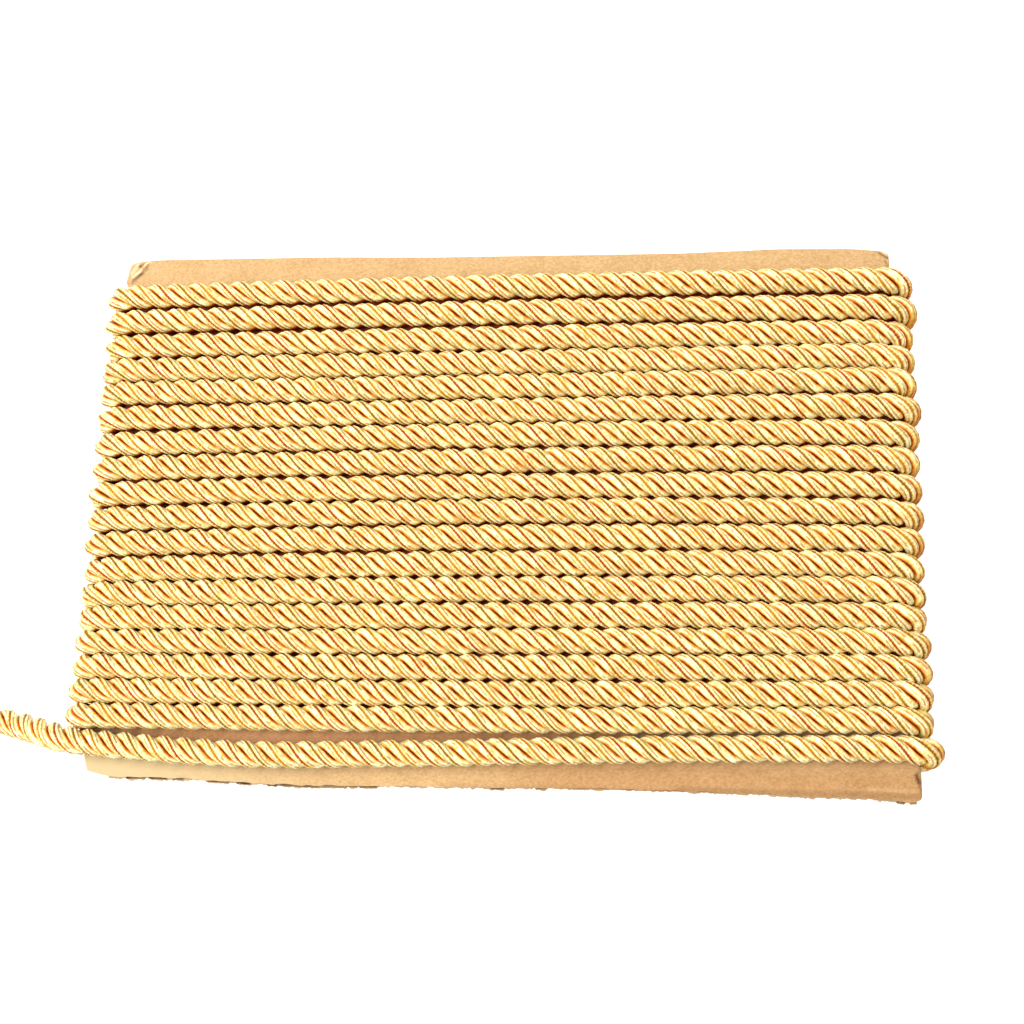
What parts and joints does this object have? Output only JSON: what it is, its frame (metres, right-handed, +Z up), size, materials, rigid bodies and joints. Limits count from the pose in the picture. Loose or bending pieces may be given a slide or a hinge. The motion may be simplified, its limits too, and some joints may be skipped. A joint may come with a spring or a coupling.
{
  "type": "twisted cord trim wound on a cardboard card",
  "caption": "Satin twisted cord trim wound side by side round a plain cardboard card, with its loose end running off past the card's edge.",
  "frame": {"origin": "on the surface it rests on, under the middle of the card and the turns", "axes": "+X along the turns, towards the edge away from the loose end; +Y from the last turn towards the first; +Z up, out of the card's face"},
  "size_m": [0.3364, 0.1798, 0.0193],
  "materials": {
    "cord": "satin",
    "cardboard": "matte"
  },
  "bodies": {
    "root": {"card": "cardboard", "wound_cord": "cord", "loose_end": "cord"}
  },
  "joints": []
}
